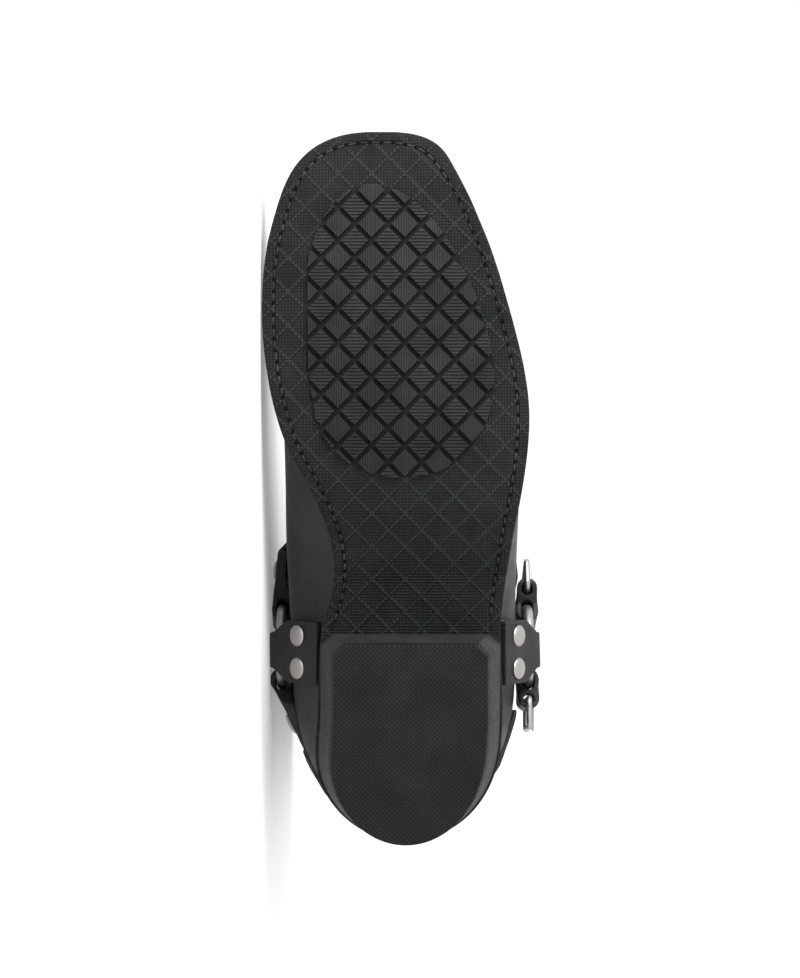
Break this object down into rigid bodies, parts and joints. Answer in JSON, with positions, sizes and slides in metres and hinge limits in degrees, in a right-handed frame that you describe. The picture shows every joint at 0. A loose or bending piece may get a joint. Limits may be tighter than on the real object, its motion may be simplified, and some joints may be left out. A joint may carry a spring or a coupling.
{
  "type": "harness boot",
  "caption": "Black leather pull-on harness boot for the left foot, lying on its side: stacked heel, lugged rubber sole, straps, rings and buckles.",
  "frame": {"origin": "middle of the floor area under the boot, which lies on its medial side", "axes": "-X to the toe, +Y up the shaft, +Z from the medial side on the floor to the lateral side"},
  "size_m": [0.3072, 0.3102, 0.122],
  "materials": {
    "black_leather": "oiled black leather with a soft shine",
    "black_rubber": "matte black rubber",
    "insole_leather": "matte tan leather",
    "nickel": "polished nickel"
  },
  "bodies": {
    "root": {"outsole": "black_rubber", "welt": "black_leather", "heel_stack": "black_rubber", "heel_lift": "black_rubber", "upper": "black_leather", "insole": "insole_leather", "side_strap_medial": "black_leather", "side_strap_lateral": "black_leather", "instep_strap": "black_leather", "heel_strap": "black_leather", "ring_medial": "nickel", "ring_lateral": "nickel", "instep_tab": "black_leather", "instep_buckle": "nickel", "instep_prong": "nickel", "heel_tab": "black_leather", "heel_buckle": "nickel", "heel_prong": "nickel", "rivet_sideMedial_1": "nickel", "rivet_sideMedial_2": "nickel", "rivet_sideLateral_1": "nickel", "rivet_sideLateral_2": "nickel", "rivet_instep_1": "nickel", "rivet_instep_2": "nickel", "rivet_heel_1": "nickel", "rivet_heel_2": "nickel"}
  },
  "joints": []
}
